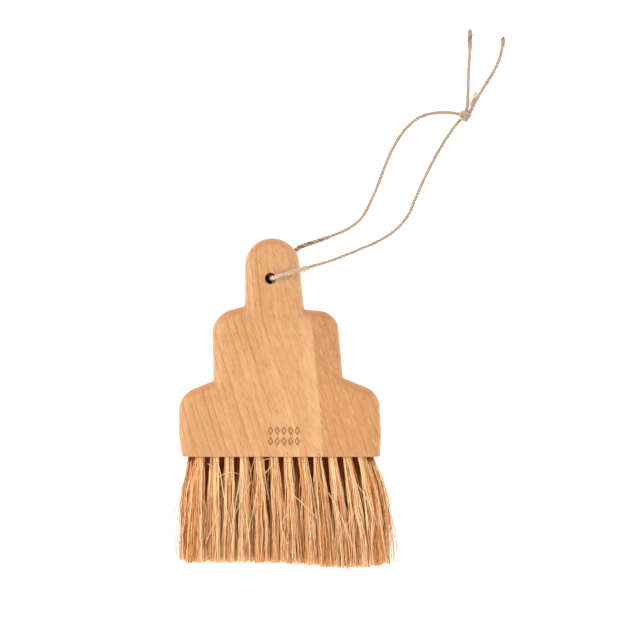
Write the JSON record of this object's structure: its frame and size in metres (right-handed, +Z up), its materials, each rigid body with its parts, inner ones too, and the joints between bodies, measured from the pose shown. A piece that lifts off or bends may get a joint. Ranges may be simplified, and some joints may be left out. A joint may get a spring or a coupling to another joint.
{
  "type": "palm brush",
  "caption": "Hand brush with a stepped, round-edged wooden block, a round knob to hold, three rows of stiff fibre tufts and a knotted hanging loop of twine.",
  "frame": {"origin": "on the surface that the brush lies on, under the centre of the box round block and bristles", "axes": "+Z up out of the front face, +Y towards the knob, -Y along the bristles, +X to the right seen from the front"},
  "size_m": [0.1883, 0.3101, 0.0268],
  "materials": {
    "wood": "oiled, soft satin",
    "anchor_wire": "flat galvanised wire",
    "palm_fibre": "dry stiff plant fibre",
    "twine": "dry twisted jute"
  },
  "bodies": {
    "brush": {"handle_block": "wood", "tuft_anchors": "anchor_wire", "tuft_front_1": "palm_fibre", "tuft_front_2": "palm_fibre", "tuft_front_3": "palm_fibre", "tuft_front_4": "palm_fibre", "tuft_front_5": "palm_fibre", "tuft_front_6": "palm_fibre", "tuft_front_7": "palm_fibre", "tuft_front_8": "palm_fibre", "tuft_front_9": "palm_fibre", "tuft_front_10": "palm_fibre", "tuft_front_11": "palm_fibre", "tuft_front_12": "palm_fibre", "tuft_middle_1": "palm_fibre", "tuft_middle_2": "palm_fibre", "tuft_middle_3": "palm_fibre", "tuft_middle_4": "palm_fibre", "tuft_middle_5": "palm_fibre", "tuft_middle_6": "palm_fibre", "tuft_middle_7": "palm_fibre", "tuft_middle_8": "palm_fibre", "tuft_middle_9": "palm_fibre", "tuft_middle_10": "palm_fibre", "tuft_middle_11": "palm_fibre", "tuft_middle_12": "palm_fibre", "tuft_middle_13": "palm_fibre", "tuft_back_1": "palm_fibre", "tuft_back_2": "palm_fibre", "tuft_back_3": "palm_fibre", "tuft_back_4": "palm_fibre", "tuft_back_5": "palm_fibre", "tuft_back_6": "palm_fibre", "tuft_back_7": "palm_fibre", "tuft_back_8": "palm_fibre", "tuft_back_9": "palm_fibre", "tuft_back_10": "palm_fibre", "tuft_back_11": "palm_fibre", "tuft_back_12": "palm_fibre"},
    "hanging_loop": {"twine_front_leg": "twine", "twine_back_leg": "twine", "twine_knot": "twine", "twine_tail_long": "twine", "twine_tail_short": "twine"}
  },
  "joints": [
    {"name": "loop_swing", "type": "hinge", "parent": "brush", "child": "hanging_loop", "pos_m": [-0.009, 0.0713, 0.0133], "axis": [0, 0, 1], "range_deg": [-20, 140]}
  ]
}
